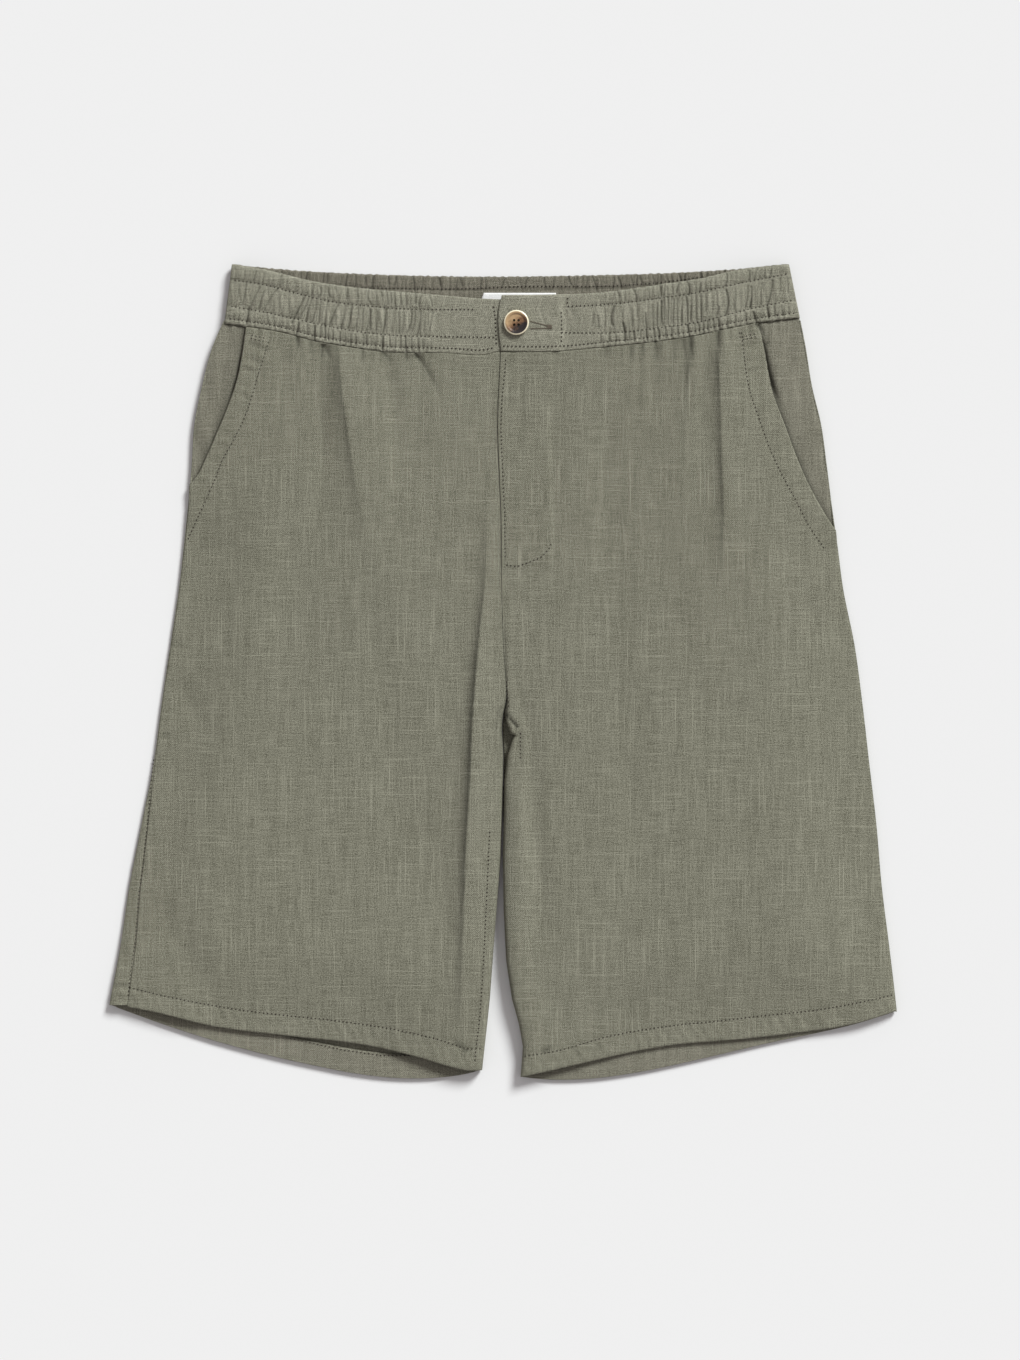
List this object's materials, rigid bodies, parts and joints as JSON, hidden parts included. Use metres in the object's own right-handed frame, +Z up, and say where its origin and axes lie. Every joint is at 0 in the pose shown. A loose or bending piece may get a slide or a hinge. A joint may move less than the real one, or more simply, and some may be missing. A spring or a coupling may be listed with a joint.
{
  "type": "bermuda shorts",
  "caption": "Knee-length shorts of linen weave laid flat and face up: gathered elastic waistband with a buttoned flap, slant pockets, open waist and leg tubes, and turned-up hems.",
  "frame": {"origin": "middle of the resting surface under the laid garment: centre of the bounding box in plan, at the height of the surface it lies on", "axes": "+Z up from the surface to the garment's front, +Y from the hems to the waist, +X from the wearer's right to the wearer's left, which is from the viewer's left to the right"},
  "size_m": [0.5518, 0.5714, 0.0149],
  "materials": {
    "linen": "matt linen-like plain weave with slubs",
    "linen_band": "the same cloth gathered over elastic",
    "linen_inside": "wrong side of the same cloth, matt",
    "label_white": "smooth white woven tape, blank",
    "horn": "polished, mottled brown like horn, with a pale rim"
  },
  "bodies": {
    "root": {"front_right": "linen", "front_left": "linen", "back_right": "linen", "back_side_right": "linen", "back_left": "linen", "hem_front_right": "linen_inside", "hem_front_left": "linen_inside", "hem_back_right": "linen_inside", "hem_back_left": "linen_inside", "pocket_facing_right": "linen", "pocket_facing_left": "linen", "waistband_front_right": "linen_band", "waistband_front_left": "linen_band", "waistband_back": "linen_band", "label": "label_white", "button": "horn"}
  },
  "joints": []
}
